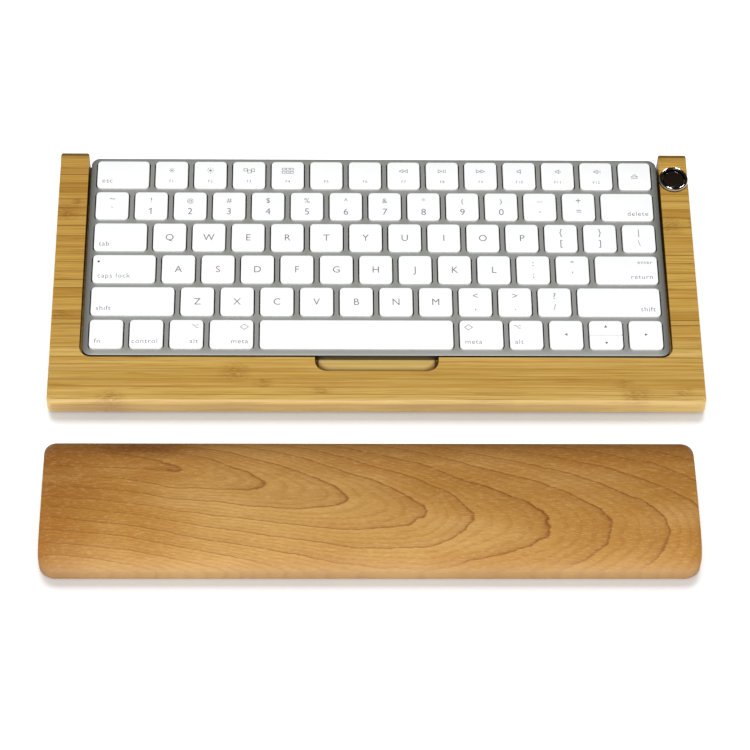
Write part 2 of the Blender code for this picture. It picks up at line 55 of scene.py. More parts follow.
press_axis = next(joint["axis"] for joint in frame["joints"] if joint["name"] == "key_space_press")
TILT = atan2(press_axis[1], -press_axis[2])
KEY_UP = Vector((0, -sin(TILT), cos(TILT)))
UNIT = 19.0 * MM                    # key pitch along a row
ROW_PITCH = 18.6 * MM
ROW_UNITS = 14.5
SPACE_UNITS_LEFT = 4.25             # units to the left of the space bar
SPACE_UNITS = 5
CAP_SIDE_GAP = 3.2 * MM             # between two caps of a row
CAP_DEPTH = 15.8 * MM
CAP_RISE = 1.05 * MM                # from the plate's top face up to a cap's top
CAP_SKIRT = 1.3 * MM                # from the plate's top face down to a cap's lower edge
CAP_CROWN = 0.9 * MM                # thickness of a cap's top
CAP_WALL = 1.2 * MM
CAP_RADIUS = 1.9 * MM               # of its corners in plan
CAP_ROUND = 0.42 * MM               # of its rounded top edge
HALF_CAP_SPLIT = 0.4 * MM           # between the two half caps
SPLIT_RADIUS = 0.45 * MM            # of their corners at the split
CASE_FRONT = -11.4 * MM
CASE_DEPTH = 114.7 * MM
CASE_WIDTH = 278.8 * MM
CASE_FRONT_THICK = 4.1 * MM
CASE_RADIUS = 4.2 * MM
CASE_WALL = 1.2 * MM
PLATE_THICK = 0.8 * MM


def key_plane():
    """Matrix of the key plane: origin in the middle of the front row, on the plate's top face."""
    low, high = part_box("key_space")
    middle = (low + high) / 2 - KEY_UP * (CAP_RISE - CAP_SKIRT) / 2
    middle.x -= (SPACE_UNITS_LEFT + SPACE_UNITS / 2 - ROW_UNITS / 2) * UNIT
    return Matrix.Translation(middle) @ Matrix.Rotation(TILT, 4, "X")


KEY_PLANE = key_plane()

WORD = 3.75 * MM                    # text sizes of the legends
LETTER = 5.3 * MM
DIGIT = 5.4 * MM
SIGN = 4.1 * MM                     # above a digit
MARK = 5.0 * MM                     # of a key with two punctuation marks
FUNCTION = 2.3 * MM
LEGEND_INSET = 2.3 * MM             # from a cap's end to its words


# A legend is (text, size, side, baseline above the cap's middle); side is -1, 0 or 1.

def word(text, side, height=-5.4 * MM, size=WORD):
    return (text, size, side, height)


def letter(name):
    return (name, 1, [(name.upper(), LETTER, 0, -2.1 * MM)])


def digit(name, sign):
    size = SIGN * (0.8 if sign == "@" else 1.0)
    return (name, 1, [(name, DIGIT, 0, -5.3 * MM), (sign, size, 0, 1.7 * MM)])


def pair(name, upper, lower, lift=1.6 * MM, drop=-4.7 * MM):
    return (name, 1, [(upper, MARK, 0, lift), (lower, MARK, 0, drop)])


# Each cap is (name, width in units, legends); the rows go from front to back.
KEY_ROWS = (
    (("fn", 1, [word("fn", -1)]), ("control", 1, [word("control", 1)]),
     ("alt_left", 1, [word("alt", 1)]), ("meta_left", 1.25, [word("meta", 1)]), ("space", 5, []),
     ("meta_right", 1.25, [word("meta", -1)]), ("alt_right", 1, [word("alt", -1)]),
     ("arrow_left", 1, []), ("arrow_up_down", 1, []), ("arrow_right", 1, [])),
    (("shift_left", 2.25, [word("shift", -1)]), *map(letter, "zxcvbnm"),
     pair("comma", "<", ","), pair("period", ">", "."), pair("slash", "?", "/"),
     ("shift_right", 2.25, [word("shift", 1)])),
    (("caps_lock", 1.75, [word("caps lock", -1)]), *map(letter, "asdfghjkl"),
     pair("semicolon", ":", ";", 2.0 * MM), pair("quote", '"', "'", 1.4 * MM),
     ("return", 1.75, [word("return", 1), word("enter", 1, 3.4 * MM, 3.0 * MM)])),
    (("tab", 1.5, [word("tab", -1)]), *map(letter, "qwertyuiop"),
     pair("bracket_left", "{", "["), pair("bracket_right", "}", "]"),
     pair("backslash", "|", "\\")),
    (pair("grave", "~", "`", 2.4 * MM, -4.2 * MM), *map(digit, "1234567890", "!@#$%^&*()"),
     pair("minus", "_", "-", 3.2 * MM, -4.4 * MM), pair("equals", "+", "=", 1.8 * MM, -4.5 * MM),
     ("delete", 1.5, [word("delete", 1)])),
    (("escape", 1.5, [word("esc", -1, -5.1 * MM)]),
     *((f"f{n}", 1, [(f"F{n}", FUNCTION, 0, -4.8 * MM)]) for n in range(1, 13)),
     ("eject", 1, [])),
)
GANG_OF = {name: "function_keys" for name, *_ in KEY_ROWS[5]}
GANG_OF.update({name: "number_keys" for name, *_ in KEY_ROWS[4]})
GANG_OF.update({name: "left_modifier_keys" for name in ("fn", "control", "alt_left", "meta_left")})
GANG_OF.update({name: "right_modifier_keys" for name in ("meta_right", "alt_right")})


def key_cells():
    """Every cap as (name, x, y, width, depth, legends) in the key plane."""
    cells = []
    for row, keys in enumerate(KEY_ROWS):
        left = -ROW_UNITS / 2 * UNIT
        for name, units, legends in keys:
            x = left + units * UNIT / 2
            y = row * ROW_PITCH
            width = units * UNIT - CAP_SIDE_GAP
            if name == "arrow_up_down":
                depth = (CAP_DEPTH - HALF_CAP_SPLIT) / 2
                shift = (depth + HALF_CAP_SPLIT) / 2
                cells.append(("arrow_up", x, y + shift, width, depth, []))
                cells.append(("arrow_down", x, y - shift, width, depth, []))
            else:
                cells.append((name, x, y, width, CAP_DEPTH, legends))
            left += units * UNIT
    return cells


# ---------------- mesh helpers

def arc(centre, radius, first, last, steps):
    """Points of a circular arc between two angles in degrees, as (x, y) pairs."""
    turns = [radians(first + (last - first) * step / steps) for step in range(steps + 1)]
    return [(centre[0] + radius * cos(turn), centre[1] + radius * sin(turn)) for turn in turns]


def rounded_loop(width, depth, radius, corner_steps, centre=(0.0, 0.0), back_radius=None):
    """Plan outline of a rectangle with round corners, counter-clockwise, as (x, y) pairs."""
    points = []
    for quarter, (sx, sy) in enumerate(((1, 1), (-1, 1), (-1, -1), (1, -1))):
        bend = back_radius if back_radius and sy > 0 else radius
        middle = (centre[0] + sx * (width / 2 - bend), centre[1] + sy * (depth / 2 - bend))
        points += arc(middle, bend, quarter * 90, quarter * 90 + 90, corner_steps)
    return points


def add_ring(mesh, loop, height):
    """New vertices along a plan outline, at a height or at the height that a function of y gives."""
    return [mesh.verts.new((x, y, height(y) if callable(height) else height)) for x, y in loop]


def bridge(mesh, lower, upper):
    """A band of faces between two rings of as many vertices."""
    for i in range(len(lower)):
        j = (i + 1) % len(lower)
        mesh.faces.new((lower[i], lower[j], upper[j], upper[i]))


def ring_solid(levels):
    """A closed solid from (outline, height) levels."""
    mesh = bmesh.new()
    rings = [add_ring(mesh, loop, height) for loop, height in levels]
    for lower, upper in zip(rings, rings[1:]):
        bridge(mesh, lower, upper)
    mesh.faces.new(rings[0])
    mesh.faces.new(rings[-1])
    return mesh


def fill_with_holes(mesh, outer, holes):
    """A flat face inside one ring that leaves out the others."""
    edges = []
    for ring in (outer, *holes):
        for i, vert in enumerate(ring):
            ends = (vert, ring[(i + 1) % len(ring)])
            edges.append(mesh.edges.get(ends) or mesh.edges.new(ends))
    bmesh.ops.triangle_fill(mesh, use_beauty=True, use_dissolve=False, edges=edges)


def turned_solid(profile, steps):
    """Turns an (r, z) profile about Z."""
    mesh = bmesh.new()
    verts = [mesh.verts.new((r, 0, z)) for r, z in profile]
    edges = [mesh.edges.new(ends) for ends in zip(verts, verts[1:])]
    if profile[0][0] > 0:
        edges.append(mesh.edges.new((verts[-1], verts[0])))
    bmesh.ops.spin(mesh, geom=verts + edges, axis=(0, 0, 1), cent=(0, 0, 0), angle=2 * pi,
                   steps=steps, use_merge=True)
    bmesh.ops.remove_doubles(mesh, verts=mesh.verts, dist=0.001 * MM)
    return mesh


def add_piece(name, mesh, material, body, place=None, smooth=35, replaces=()):
    """Turns a bmesh into a shown piece that rides on a body."""
    bmesh.ops.recalc_face_normals(mesh, faces=mesh.faces)
    data = bpy.data.meshes.new(name)
    mesh.to_mesh(data)
    mesh.free()
    if place:
        data.transform(place)
    if smooth:
        data.shade_smooth()
        data.set_sharp_from_angle(angle=radians(smooth))
    data.materials.append(material)
    piece = bpy.data.objects.new(name, data)
    bpy.context.scene.collection.objects.link(piece)
    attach(piece, body)
    if replaces:
        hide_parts(*replaces)
    return piece


# ---------------- shader helpers

class Graph:
    """Short names for building one procedural material."""

    def __init__(self, name, **sockets):
        self.material = bpy.data.materials.new(name)
        self.material.use_nodes = True
        self.tree = self.material.node_tree
        self.shader = self.tree.nodes["Principled BSDF"]
        for socket, value in sockets.items():
            self.shader.inputs[socket.replace("_", " ")].default_value = value

    def node(self, kind, inputs=None, **settings):
        made = self.tree.nodes.new(kind)
        for key, value in settings.items():
            setattr(made, key, value)
        for socket, value in (inputs or {}).items():
            self.put(value, made.inputs[socket])
        return made

    def put(self, source, target):
        if isinstance(source, bpy.types.NodeSocket):
            self.tree.links.new(source, target)
        else:
            target.default_value = source

    def math(self, operation, *values):
        made = self.node("ShaderNodeMath", operation=operation)
        for value, socket in zip(values, made.inputs):
            self.put(value, socket)
        return made.outputs[0]

    def times(self, first, second):
        return self.math("MULTIPLY", first, second)

    def plus(self, first, second):
        return self.math("ADD", first, second)

    def minus(self, first, second):
        return self.math("SUBTRACT", first, second)

    def over(self, first, second):
        return self.math("DIVIDE", first, second)

    def place(self, scale=(1, 1, 1)):
        """Object coordinates in millimetres, each axis multiplied by its scale."""
        source = self.node("ShaderNodeTexCoord").outputs["Object"]
        mapping = self.node("ShaderNodeMapping", {"Vector": source,
                                                  "Scale": [s / MM for s in scale]})
        return mapping.outputs[0]

    def normal(self):
        """The three parts of the surface's direction."""
        return self.split(self.node("ShaderNodeTexCoord").outputs["Normal"])

    def split(self, vector):
        return self.node("ShaderNodeSeparateXYZ", {0: vector}).outputs

    def join(self, x=0.0, y=0.0, z=0.0):
        return self.node("ShaderNodeCombineXYZ", {0: x, 1: y, 2: z}).outputs[0]

    def noise(self, vector, scale=1.0, detail=3.0, roughness=0.5):
        return self.node("ShaderNodeTexNoise", {"Vector": vector, "Scale": scale, "Detail": detail,
                                                "Roughness": roughness}).outputs[0]

    def fibres(self, place, along, across, detail=3.0, roughness=0.5):
        """Noise drawn out along X; the two scales are cells per millimetre."""
        parts = map(self.times, place, (along, across, across))
        return self.noise(self.join(*parts), 1.0, detail, roughness)

    def distance(self, aside, ahead):
        """Length of a flat vector."""
        return self.math("SQRT", self.plus(self.times(aside, aside), self.times(ahead, ahead)))

    def ramp(self, value, *stops, ease="LINEAR"):
        """Maps a value through (position, colour or number) stops."""
        made = self.node("ShaderNodeValToRGB", {0: value})
        ramp = made.color_ramp
        ramp.interpolation = ease
        while len(ramp.elements) < len(stops):
            ramp.elements.new(0.5)
        for element, (position, colour) in zip(ramp.elements, stops):
            element.position = position
            shade = colour if isinstance(colour, tuple) else (colour,) * 3
            element.color = (*shade, 1.0)
        return made.outputs[0]

    def mix(self, factor, first, second, blend="MIX"):
        made = self.node("ShaderNodeMix", data_type="RGBA", blend_type=blend)
        for socket, value in ((made.inputs[0], factor), (made.inputs[6], first),
                              (made.inputs[7], second)):
            if isinstance(value, tuple) and len(value) == 3:
                value = (*value, 1.0)
            self.put(value, socket)
        return made.outputs[2]

    def mark_or_painted_light(self, shade, colour, mask, strength):
        """The shade mixed with a colour, by a mask times a strength: for marks in the grain, and for
        painted light and shade.
        """
        return self.mix(self.times(mask, strength), shade, colour)

    def bump(self, height, strength, distance):
        made = self.node("ShaderNodeBump", {"Height": height, "Strength": strength,
                                            "Distance": distance})
        self.put(made.outputs[0], self.shader.inputs["Normal"])

    def colour(self, value):
        self.put(value, self.shader.inputs["Base Color"])

    def rough(self, value):
        self.put(value, self.shader.inputs["Roughness"])


# ---------------- materials

# Lengths and places in the materials are in millimetres, as g.place() gives them.
STRIPS_PER_MM = 0.19
STRIP_SWAY = 1.2                    # how far a strip wanders sideways
STRIP_SHIFT = 400.0                 # largest shift of a strip's own stretch of fibres
STRIP_TINTS = ((0.0, (0.43, 0.245, 0.04)), (0.25, (0.53, 0.34, 0.078)), (0.6, (0.59, 0.40, 0.108)),
               (0.8, (0.55, 0.355, 0.085)), (1.0, (0.46, 0.27, 0.048)))
BAMBOO_FIBRE = (0.36, 0.18, 0.022)
BAMBOO_STREAK = (0.68, 0.48, 0.17)
BAMBOO_SLIT = (0.27, 0.11, 0.01)
BAMBOO_SEAM = (0.17, 0.06, 0.004)
BAMBOO_NODE = (0.25, 0.105, 0.011)
BAMBOO_VESSEL = (0.20, 0.09, 0.02)
BAMBOO_SHADE = (0.13, 0.05, 0.006)  # of faces that are turned away from the light
NODE_PERIOD = 170.0                 # from one small node mark of a strip to its next
NODE_REACH = 6.0                    # half length of a small node mark
NODE_MARKS = ((-125.0, -25.0), (-67.0, -10.0), (122.0, -22.0), (144.0, 75.0), (-151.0, 82.0))
NODE_MARK_REACH = (9.0, 6.5)        # half length and half width of these larger node marks
BACK_RIM = 4.5                      # depth of the shaded rim at the tray's back
ARM_SHADE_FADE = 30.0                     # from the case's front, until the arms have their full painted shade
LEFT_ARM_SHADE = (0.88, 0.80, 0.60)
RIGHT_ARM_SHADE = (0.94, 0.885, 0.68)
NOTCH_FRONT = 8.7                   # from the case's front edge to the notch's front wall
NOTCH_HALF = 29.3
NOTCH_UNDERCUT = 4.2                # how far the notch runs under the case
NOTCH_SHADE = 8.0                   # radius of the shaded corners of its floor
NOTCH_HIDDEN = 3.3                  # depth of floor behind its front wall that stays in the dark
NOTCH_TOP = 7.5                     # a height above the table, between its floor and its rim
POCKET_ASIDE = 2.6                  # the pocket's side walls are nearer to the case than this
POCKET_AHEAD = 9.2                  # and so are its front wall and the notch's


def node_marks(g, place, tint):
    """Mask of the wrinkled node marks: small ones along some strips, and the larger ones."""
    x, y, _ = place
    spot = g.math("FRACT", g.plus(g.over(x, NODE_PERIOD), tint[2]))
    away = g.times(g.math("ABSOLUTE", g.minus(spot, 0.5)), NODE_PERIOD)
    small = g.times(g.ramp(g.over(away, NODE_REACH), (0.0, 1.0), (1.0, 0.0)),
                    g.ramp(g.fibres(place, 0.35, 1.3), (0.38, 0.0), (0.6, 1.0)))
    marked = g.times(small, g.math("GREATER_THAN", tint[1], 0.35))
    knot = g.ramp(g.fibres(place, 0.5, 2.0, 4.0, 0.7), (0.44, 0.0), (0.53, 1.0))
    for mark_x, mark_y in NODE_MARKS:
        reach = g.distance(g.over(g.minus(x, mark_x), NODE_MARK_REACH[0]),
                           g.over(g.minus(y, mark_y), NODE_MARK_REACH[1]))
        patch = g.times(g.ramp(reach, (0.25, 1.0), (1.0, 0.0)), knot)
        marked = g.math("MAXIMUM", marked, patch)
    return marked


def tray_painted_light(g, place, normal, toned):
    """Painted light and shade that differ from face to face: a painted highlight on the front, painted
    shade on the back and its rim, and on the two arms.
    """
    x, y, _ = place
    # painted highlight: faces turned to the front, towards the light, are paler
    front = g.ramp(g.times(normal[1], -1.0), (0.2, 0.0), (0.45, 0.3), (0.9, 0.22))
    toned = g.mix(front, toned, (0.76, 0.57, 0.30))
    # painted shade on faces turned to the back, away from the light
    toned = g.mix(g.ramp(normal[1], (0.3, 0.0), (0.6, 0.45)), toned, BAMBOO_SHADE)
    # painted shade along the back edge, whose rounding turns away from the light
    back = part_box("bamboo_tray")[1].y / MM
    rim = g.over(g.minus(y, back - BACK_RIM), BACK_RIM)
    toned = g.mix(g.ramp(rim, (0.0, 0.0), (0.5, 0.2), (0.62, 0.85)), toned, (0.12, 0.06, 0.01))
    # painted shade: the arms are darker and browner than the front bar, the left one most, as the light
    # falls off to the left and towards the back
    low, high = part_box("top_case")
    ahead = g.over(g.minus(y, low.y / MM), ARM_SHADE_FADE)
    arm_shade_mask = g.times(g.math("GREATER_THAN", g.math("ABSOLUTE", x), high.x / MM),
                   g.ramp(ahead, (0.0, 0.0), (1.0, 1.0)))
    arm_shade = g.mix(g.math("GREATER_THAN", x, 0.0), LEFT_ARM_SHADE, RIGHT_ARM_SHADE)
    return g.mix(arm_shade_mask, toned, g.mix(1.0, toned, arm_shade, "MULTIPLY"))


def notch_painted_light(g, place, toned):
    """The scooped notch: painted light in the middle of its floor, painted shade where the floor turns
    up.
    """
    x, y, z = place
    case_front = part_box("top_case")[0].y / MM
    front = case_front - NOTCH_FRONT
    aside = g.math("ABSOLUTE", x)
    inside = g.times(g.math("LESS_THAN", z, NOTCH_TOP), g.math("GREATER_THAN", y, front))
    inside = g.times(inside, g.math("LESS_THAN", aside, NOTCH_HALF))
    inside = g.times(inside, g.math("LESS_THAN", y, case_front + NOTCH_UNDERCUT))
    reach = g.distance(g.math("MAXIMUM", g.minus(aside, NOTCH_HALF - NOTCH_SHADE), 0.0),
                       g.math("MAXIMUM", g.minus(front + NOTCH_HIDDEN + NOTCH_SHADE, y), 0.0))
    turned_up_shade = g.ramp(g.over(reach, NOTCH_SHADE), (0.72, 0.0), (0.97, 1.0))
    # painted light on the middle of the notch's floor, then painted shade where it turns up
    toned = g.mark_or_painted_light(toned, (0.74, 0.54, 0.20), inside, 0.45)
    return g.mark_or_painted_light(toned, BAMBOO_SHADE, g.times(inside, turned_up_shade), 0.85)


def bamboo():
    """Narrow strips glued side by side, with fibres along X, node marks and dotted end grain, and
    painted light and shade on the tray's faces, in its notch and in its pocket.
    """
    g = Graph("bamboo_laminate", Roughness=0.5, Specular_IOR_Level=0.35)
    x, y, z = place = tuple(g.split(g.place()))
    sway = g.fibres((x, 0.0, 0.0), 0.012, 0.0, 1.0)
    across = g.plus(y, g.times(sway, STRIP_SWAY))
    strips = {"W": g.times(across, STRIPS_PER_MM), "Scale": 1.0, "Randomness": 0.95}
    cell = g.node("ShaderNodeTexVoronoi", strips, voronoi_dimensions="1D", feature="F1")
    edge = g.node("ShaderNodeTexVoronoi", strips, voronoi_dimensions="1D", feature="DISTANCE_TO_EDGE")
    tint = g.split(cell.outputs["Color"])
    strip = g.ramp(tint[0], *STRIP_TINTS)
    # every strip has its own stretch of the fibre pattern
    own = (g.plus(x, g.times(tint[1], STRIP_SHIFT)), y, z)
    fibre = g.fibres(own, 0.035, 2.6, 4.0, 0.6)
    streak = g.fibres(own, 0.012, 0.8, 2.0)
    slit = g.fibres(own, 0.022, 1.5, 3.0, 0.7)
    toned = g.mark_or_painted_light(strip, BAMBOO_FIBRE, g.ramp(fibre, (0.38, 0.0), (0.68, 1.0)), 0.8)
    toned = g.mark_or_painted_light(toned, BAMBOO_STREAK, g.ramp(streak, (0.45, 0.0), (0.75, 1.0)), 0.45)
    toned = g.mark_or_painted_light(toned, BAMBOO_NODE, node_marks(g, place, tint), 0.62)
    toned = g.mark_or_painted_light(toned, BAMBOO_SLIT, g.ramp(slit, (0.565, 0.0), (0.65, 1.0)), 0.62)
    # the seams of some strips are faint, and all fade in places
    seam = g.ramp(edge.outputs["Distance"], (0.0, 1.0), (0.04, 0.8), (0.085, 0.0))
    dark_seam = g.times(seam, g.ramp(tint[0], (0.3, 0.3), (0.7, 1.0)))
    toned = g.mark_or_painted_light(toned, BAMBOO_SEAM, dark_seam, g.ramp(streak, (0.4, 0.45), (0.6, 1.0)))
    # end grain: dark vessel dots on the faces that look along X
    dots = g.node("ShaderNodeTexVoronoi", {"Vector": g.join(0.0, y, z), "Scale": 1.9,
                                           "Randomness": 0.85}).outputs["Distance"]
    end = g.mark_or_painted_light(strip, BAMBOO_VESSEL, g.ramp(dots, (0.1, 1.0), (0.32, 0.0)), 0.7)
    normal = g.normal()
    toned = g.mix(g.ramp(g.math("ABSOLUTE", normal[0]), (0.6, 0.0), (0.85, 1.0)), toned, end)
    toned = tray_painted_light(g, place, normal, toned)
    toned = notch_painted_light(g, place, toned)
    # painted shade: everything but the flat faces is dark inside the pocket and the notch
    low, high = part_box("top_case")
    pocket = g.times(g.math("LESS_THAN", g.math("ABSOLUTE", x), high.x / MM + POCKET_ASIDE),
                     g.math("GREATER_THAN", y, low.y / MM - POCKET_AHEAD))
    shaded_walls = g.times(pocket, g.math("LESS_THAN", normal[2], 0.8))
    g.colour(g.mark_or_painted_light(toned, (0.05, 0.018, 0.002), shaded_walls, 0.8))
    g.rough(g.ramp(fibre, (0.2, 0.36), (0.8, 0.52)))
    g.bump(g.minus(g.times(fibre, 0.6), seam), 0.35, 0.06 * MM)
    return g.material


ARCH_TIPS = (-92, -53, -16, 20, 41, 76, 104, 130)     # where the arches end, along X
ARCH_SPAN = 320.0                   # the arches are laid out over this length
ARCH_WIDTH = 5.6                    # between two rings, across the arches
AXIS_FRONT = -112.5                 # front of the band in which the arches' axis runs
AXIS_DEPTH = 75.0
AXIS_BEND = ((0.0, 0.73), (0.2125, 0.655), (0.5625, 0.253), (1.0, 0.141))
RING_LEVEL = 36.0                   # height at which the rings are as laid out
DARK_RING = 5.8                     # the ring whose tip is the sixth is the darkest
PALM_LENGTH = 300.0
PALM_TINTS = ((0.0, (0.31, 0.127, 0.016)), (0.12, (0.41, 0.20, 0.037)), (0.28, (0.53, 0.315, 0.095)),
              (0.45, (0.50, 0.29, 0.084)), (0.6, (0.44, 0.235, 0.055)), (1.0, (0.395, 0.192, 0.036)))
PALM_RING = (0.16, 0.042, 0.003)
STAIN_X = -108.0                    # middle of the brown stain
STAIN_BACK = 6.0                    # from the back edge to its middle
STAIN_REACH = (34.0, 9.0)           # its half length and half width


def palm_rings(g, place, ripple):
    """Number of rings out from the axis, and the distance from the axis across the bar in rings."""
    x, y, z = place
    wander = g.fibres((x, y, 0.0), 0.018, 0.05, 2.0)
    along = g.plus(g.over(x, ARCH_SPAN), 0.5)
    # the arches' tips lie on a line that falls towards the front on the right
    axis = g.times(g.ramp(along, *AXIS_BEND, ease="B_SPLINE"), AXIS_DEPTH)
    side = g.minus(y, g.plus(axis, AXIS_FRONT))
    side = g.over(g.plus(side, g.times(wander, 4.0)), ARCH_WIDTH)
    # the axis dives by one ring from each tip to the next
    count = len(ARCH_TIPS) + 2
    dive = g.ramp(along, (0.0, 0.2 / count),
                  *((tip / ARCH_SPAN + 0.5, (n + 1) / count) for n, tip in enumerate(ARCH_TIPS)),
                  (1.0, 0.95))
    radius = g.distance(side, g.times(dive, float(count)))
    turn = g.plus(radius, g.times(g.minus(ripple, 0.5), 0.24))
    turn = g.plus(turn, g.times(g.minus(z, RING_LEVEL), 0.004))
    return turn, side


def palm_wood():
    """Flat-sawn wood: nested rings about an axis that dives into the bar, cut into arches, with painted
    shade towards the back and a painted highlight on the front edge.
    """
    g = Graph("arched_wood", Roughness=0.6, Specular_IOR_Level=0.2)
    x, y, _ = place = tuple(g.split(g.place()))
    front = g.times(g.normal()[1], -1.0)
    ripple = g.fibres(place, 0.09, 0.16, 3.0, 0.6)
    fibre = g.fibres(place, 0.06, 2.4, 4.0, 0.65)
    fleck = g.fibres(place, 0.35, 1.5, 3.0, 0.7)
    cloud = g.fibres((x, y, 0.0), 0.014, 0.05, 2.0)
    turn, side = palm_rings(g, place, ripple)
    late = g.ramp(g.math("FRACT", turn), (0.0, 0.0), (0.4, 0.03), (0.75, 0.14), (0.9, 0.32),
                  (0.95, 1.0), (0.98, 0.0))
    fine = g.ramp(g.math("FRACT", g.times(turn, 4.0)), (0.4, 0.0), (0.85, 1.0), (0.97, 0.0))
    # the rings fade towards the front, and more so on its roll
    dark = g.math("LESS_THAN", g.math("ABSOLUTE", g.minus(turn, DARK_RING)), 0.3)
    weight = g.plus(g.times(dark, 0.15), 0.84)
    weight = g.times(weight, g.ramp(g.plus(g.times(side, 0.2), 0.5), (0.1, 0.78), (0.7, 1.0)))
    weight = g.times(weight, g.ramp(front, (0.5, 1.0), (0.85, 0.15)))
    across = g.plus(g.over(x, PALM_LENGTH), 0.5)
    toned = g.ramp(across, *PALM_TINTS, ease="EASE")
    toned = g.mark_or_painted_light(toned, (0.34, 0.145, 0.02), g.ramp(cloud, (0.45, 0.0), (0.65, 1.0)), 0.4)
    toned = g.mark_or_painted_light(toned, (0.60, 0.39, 0.15), g.ramp(cloud, (0.3, 1.0), (0.48, 0.0)), 0.35)
    # painted shade: darker towards the back edge, whose roll turns away from the light
    low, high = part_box("palm_rest")
    back = g.over(g.minus(y, low.y / MM), (high.y - low.y) / MM)
    toned = g.mix(g.ramp(back, (0.0, 0.0), (0.35, 0.12), (0.7, 0.42), (0.88, 0.72), (1.0, 1.0)), toned,
                  g.mix(1.0, toned, (0.60, 0.46, 0.30), "MULTIPLY"))
    # a brown stain near the back left corner, inside the first arch
    reach = g.distance(g.over(g.minus(x, STAIN_X), STAIN_REACH[0]),
                       g.over(g.minus(y, high.y / MM - STAIN_BACK), STAIN_REACH[1]))
    reach = g.plus(reach, g.times(g.minus(ripple, 0.5), 0.8))
    toned = g.mix(g.ramp(reach, (0.3, 0.85), (0.55, 0.4), (1.0, 0.0)), toned, (0.13, 0.038, 0.004))
    toned = g.mark_or_painted_light(toned, (0.25, 0.095, 0.013), fine, 0.28)
    toned = g.mark_or_painted_light(toned, PALM_RING, late, weight)
    toned = g.mark_or_painted_light(toned, (0.30, 0.12, 0.02), g.ramp(fibre, (0.4, 0.0), (0.75, 1.0)), 0.3)
    toned = g.mark_or_painted_light(toned, (0.66, 0.42, 0.17), g.ramp(fleck, (0.5, 0.0), (0.75, 1.0)), 0.35)
    toned = g.mark_or_painted_light(toned, (0.26, 0.105, 0.018), g.ramp(fleck, (0.28, 1.0), (0.45, 0.0)), 0.25)
    # painted highlight: the rounded front edge, turned to the light, is paler
    g.colour(g.mix(g.ramp(front, (0.5, 0.0), (0.95, 0.35)), toned, (0.44, 0.31, 0.18)))
    g.rough(g.ramp(fibre, (0.25, 0.54), (0.8, 0.66)))
    g.bump(g.plus(fibre, g.times(late, -0.5)), 0.3, 0.06 * MM)
    return g.material


PLATE_SHADE_MARGIN = 6.0                  # width of the margin of painted shade at each side of the plate
BACK_WALL = 1.0                     # the case's back wall begins this far before its back


def anodised():
    """Grey metal with a fine bead-blasted grain, with painted shade at the plate's sides and on its
    upright faces.
    """
    g = Graph("anodised_grey", Metallic=1.0, Roughness=0.38)
    x, y, _ = g.split(g.place())
    grain = g.noise(g.place((9, 9, 9)), 1.0, 2.0, 0.7)
    cloud = g.noise(g.place((0.03, 0.03, 0.03)), 1.0, 2.0)
    base = g.ramp(cloud, (0.3, (0.59, 0.60, 0.56)), (0.7, (0.63, 0.64, 0.60)))
    shade = g.mix(g.ramp(grain, (0.3, 0.0), (0.8, 0.35)), base, (0.74, 0.75, 0.71))
    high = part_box("top_case")[1]
    # painted shade at each side of the plate, where the light falls off
    aside = g.over(g.minus(high.x / MM, g.math("ABSOLUTE", x)), PLATE_SHADE_MARGIN)
    shade = g.mix(g.ramp(aside, (0.0, 0.8), (0.35, 0.42), (0.6, 0.3), (1.0, 0.0)), shade,
                  (0.16, 0.165, 0.15))
    # painted shade: the edges of the openings and the walls in the pocket are darkest, the back wall
    # less so
    upright = g.math("LESS_THAN", g.normal()[2], 0.5)
    inside = g.math("LESS_THAN", y, high.y / MM - BACK_WALL)
    wall_shade = g.plus(g.times(inside, 0.4), 0.45)
    g.colour(g.mark_or_painted_light(shade, (0.05, 0.05, 0.05), upright, wall_shade))
    g.rough(g.ramp(grain, (0.2, 0.34), (0.8, 0.46)))
    g.bump(grain, 0.25, 0.02 * MM)
    return g.material


def cap_plastic():
    """Near-white moulded caps with a very fine texture."""
    g = Graph("cap_plastic", Roughness=0.5, Specular_IOR_Level=0.35)
    grain = g.noise(g.place((7, 7, 7)), 1.0, 2.0, 0.6)
    cloud = g.noise(g.place((0.05, 0.05, 0.05)), 1.0, 2.0)
    g.colour(g.ramp(cloud, (0.3, (0.88, 0.885, 0.89)), (0.7, (0.905, 0.91, 0.91))))
    g.rough(g.ramp(grain, (0.2, 0.44), (0.8, 0.56)))
    g.bump(grain, 0.12, 0.01 * MM)
    return g.material


def ink(name, shade):
    """Printed ink with a faint unevenness."""
    g = Graph(name, Roughness=0.6)
    grain = g.noise(g.place((5, 5, 5)), 1.0, 2.0)
    g.colour(g.ramp(grain, (0.2, tuple(s * 0.92 for s in shade)), (0.8, shade)))
    return g.material


def moulded(name, dark, light, roughness, grain_scale=4.0, depth=0.03 * MM):
    """Moulded plastic, rubber or silicone with a fine spark-eroded grain."""
    g = Graph(name, Roughness=roughness)
    grain = g.noise(g.place((grain_scale,) * 3), 1.0, 3.0, 0.6)
    g.colour(g.ramp(grain, (0.25, dark), (0.75, light)))
    g.rough(g.ramp(grain, (0.2, roughness - 0.06), (0.8, roughness + 0.08)))
    g.bump(grain, 0.3, depth)
    return g.material


